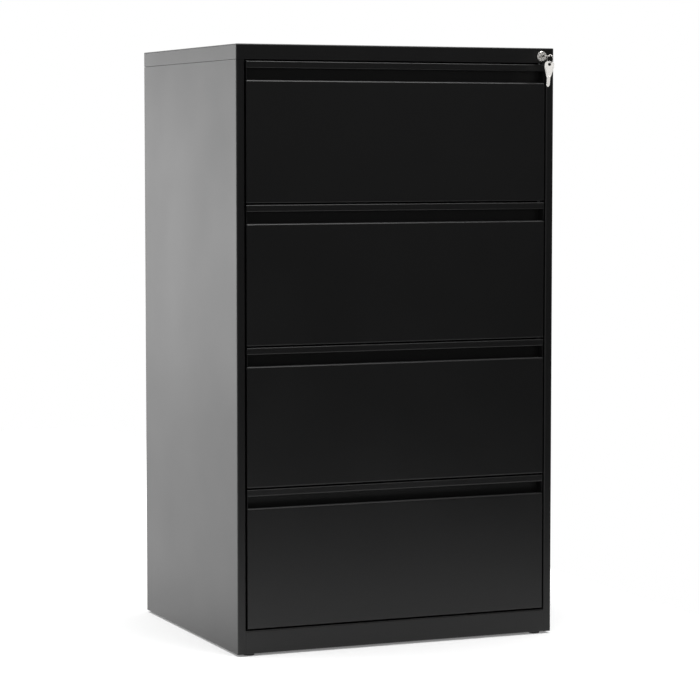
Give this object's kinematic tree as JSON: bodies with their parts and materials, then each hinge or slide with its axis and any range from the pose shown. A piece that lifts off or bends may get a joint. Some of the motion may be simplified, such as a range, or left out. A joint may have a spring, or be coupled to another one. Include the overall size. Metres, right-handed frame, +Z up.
{
  "type": "lateral filing cabinet",
  "caption": "Tall black steel filing cabinet: stacked full-width drawers on telescopic slides, recessed finger pulls, a key lock that lifts a locking bar, and levelling feet.",
  "frame": {"origin": "on the floor, under the middle of the box around the whole part, key and ring included", "axes": "+Z up, +Y to the back, +X to the right seen from the front; the drawers open towards -Y"},
  "size_m": [0.756, 0.6724, 1.32],
  "materials": {
    "black_paint": "semi-gloss black powder coat with a very fine orange-peel texture",
    "zinc_plated_steel": "bright zinc plate",
    "nickel_plate": "polished nickel plate",
    "bare_steel": "oiled bare steel",
    "foot_plastic": "moulded, matt"
  },
  "bodies": {
    "case": {"top_panel": "black_paint", "side_panel_right": "black_paint", "side_panel_left": "black_paint", "back_panel": "black_paint", "bottom_panel": "black_paint", "base_rail": "black_paint", "upright_front_right": "black_paint", "upright_front_left": "black_paint", "upright_rear_right": "black_paint", "upright_rear_left": "black_paint", "lock_body": "nickel_plate", "drawer_1_slide_outer_right": "zinc_plated_steel", "drawer_1_slide_outer_left": "zinc_plated_steel", "drawer_2_slide_outer_right": "zinc_plated_steel", "drawer_2_slide_outer_left": "zinc_plated_steel", "drawer_3_slide_outer_right": "zinc_plated_steel", "drawer_3_slide_outer_left": "zinc_plated_steel", "drawer_4_slide_outer_right": "zinc_plated_steel", "drawer_4_slide_outer_left": "zinc_plated_steel"},
    "drawer_1": {"drawer_1_front": "black_paint", "drawer_1_tray": "black_paint", "drawer_1_hanging_rail": "black_paint", "drawer_1_slide_inner_right": "zinc_plated_steel", "drawer_1_slide_inner_left": "zinc_plated_steel"},
    "drawer_1_middle": {"drawer_1_slide_middle_right": "zinc_plated_steel", "drawer_1_slide_middle_left": "zinc_plated_steel"},
    "drawer_2": {"drawer_2_front": "black_paint", "drawer_2_tray": "black_paint", "drawer_2_hanging_rail": "black_paint", "drawer_2_slide_inner_right": "zinc_plated_steel", "drawer_2_slide_inner_left": "zinc_plated_steel"},
    "drawer_2_middle": {"drawer_2_slide_middle_right": "zinc_plated_steel", "drawer_2_slide_middle_left": "zinc_plated_steel"},
    "drawer_3": {"drawer_3_front": "black_paint", "drawer_3_tray": "black_paint", "drawer_3_hanging_rail": "black_paint", "drawer_3_slide_inner_right": "zinc_plated_steel", "drawer_3_slide_inner_left": "zinc_plated_steel"},
    "drawer_3_middle": {"drawer_3_slide_middle_right": "zinc_plated_steel", "drawer_3_slide_middle_left": "zinc_plated_steel"},
    "drawer_4": {"drawer_4_front": "black_paint", "drawer_4_tray": "black_paint", "drawer_4_hanging_rail": "black_paint", "drawer_4_slide_inner_right": "zinc_plated_steel", "drawer_4_slide_inner_left": "zinc_plated_steel"},
    "drawer_4_middle": {"drawer_4_slide_middle_right": "zinc_plated_steel", "drawer_4_slide_middle_left": "zinc_plated_steel"},
    "lock_plug": {"lock_plug": "nickel_plate"},
    "locking_bar": {"locking_bar": "bare_steel", "locking_yoke": "bare_steel", "drawer_1_locking_hook": "bare_steel", "drawer_2_locking_hook": "bare_steel", "drawer_3_locking_hook": "bare_steel", "drawer_4_locking_hook": "bare_steel"},
    "key": {"key": "nickel_plate"},
    "key_ring": {"key_ring": "nickel_plate"},
    "foot_front_left": {"foot_front_left": "foot_plastic"},
    "foot_front_right": {"foot_front_right": "foot_plastic"},
    "foot_rear_left": {"foot_rear_left": "foot_plastic"},
    "foot_rear_right": {"foot_rear_right": "foot_plastic"}
  },
  "joints": [
    {"name": "drawer_1_slide", "type": "slide", "parent": "case", "child": "drawer_1", "axis": [0, -1, 0], "range_m": [0, 0.53]},
    {"name": "drawer_1_middle_slide", "type": "slide", "parent": "case", "child": "drawer_1_middle", "axis": [0, -1, 0], "range_m": [0, 0.265]},
    {"name": "drawer_2_slide", "type": "slide", "parent": "case", "child": "drawer_2", "axis": [0, -1, 0], "range_m": [0, 0.53]},
    {"name": "drawer_2_middle_slide", "type": "slide", "parent": "case", "child": "drawer_2_middle", "axis": [0, -1, 0], "range_m": [0, 0.265]},
    {"name": "drawer_3_slide", "type": "slide", "parent": "case", "child": "drawer_3", "axis": [0, -1, 0], "range_m": [0, 0.53]},
    {"name": "drawer_3_middle_slide", "type": "slide", "parent": "case", "child": "drawer_3_middle", "axis": [0, -1, 0], "range_m": [0, 0.265]},
    {"name": "drawer_4_slide", "type": "slide", "parent": "case", "child": "drawer_4", "axis": [0, -1, 0], "range_m": [0, 0.53]},
    {"name": "drawer_4_middle_slide", "type": "slide", "parent": "case", "child": "drawer_4_middle", "axis": [0, -1, 0], "range_m": [0, 0.265]},
    {"name": "lock_turn", "type": "hinge", "parent": "case", "child": "lock_plug", "pos_m": [0.345, -0.28362, 1.3015], "axis": [0, 1, 0], "range_deg": [0, 90]},
    {"name": "locking_bar_lift", "type": "slide", "parent": "case", "child": "locking_bar", "axis": [0, 0, 1], "range_m": [0, 0.01131]},
    {"name": "key_pull", "type": "slide", "parent": "lock_plug", "child": "key", "axis": [0, -1, 0], "range_m": [0, 0.03]},
    {"name": "key_ring_swing", "type": "hinge", "parent": "key", "child": "key_ring", "pos_m": [0.3464, -0.32648, 1.3015], "axis": [0.2588, -0.9659, 0], "range_deg": [-20, 20]},
    {"name": "foot_front_left_screw", "type": "slide", "parent": "case", "child": "foot_front_left", "axis": [0, 0, -1], "range_m": [0, 0.015]},
    {"name": "foot_front_right_screw", "type": "slide", "parent": "case", "child": "foot_front_right", "axis": [0, 0, -1], "range_m": [0, 0.015]},
    {"name": "foot_rear_left_screw", "type": "slide", "parent": "case", "child": "foot_rear_left", "axis": [0, 0, -1], "range_m": [0, 0.015]},
    {"name": "foot_rear_right_screw", "type": "slide", "parent": "case", "child": "foot_rear_right", "axis": [0, 0, -1], "range_m": [0, 0.015]}
  ],
  "couplings": [
    {"joint": "drawer_1_middle_slide", "follows": "drawer_1_slide", "ratio": 0.5},
    {"joint": "drawer_2_middle_slide", "follows": "drawer_2_slide", "ratio": 0.5},
    {"joint": "drawer_3_middle_slide", "follows": "drawer_3_slide", "ratio": 0.5},
    {"joint": "drawer_4_middle_slide", "follows": "drawer_4_slide", "ratio": 0.5},
    {"joint": "lock_turn", "follows": "locking_bar_lift", "rad_per_m": 138.84}
  ]
}
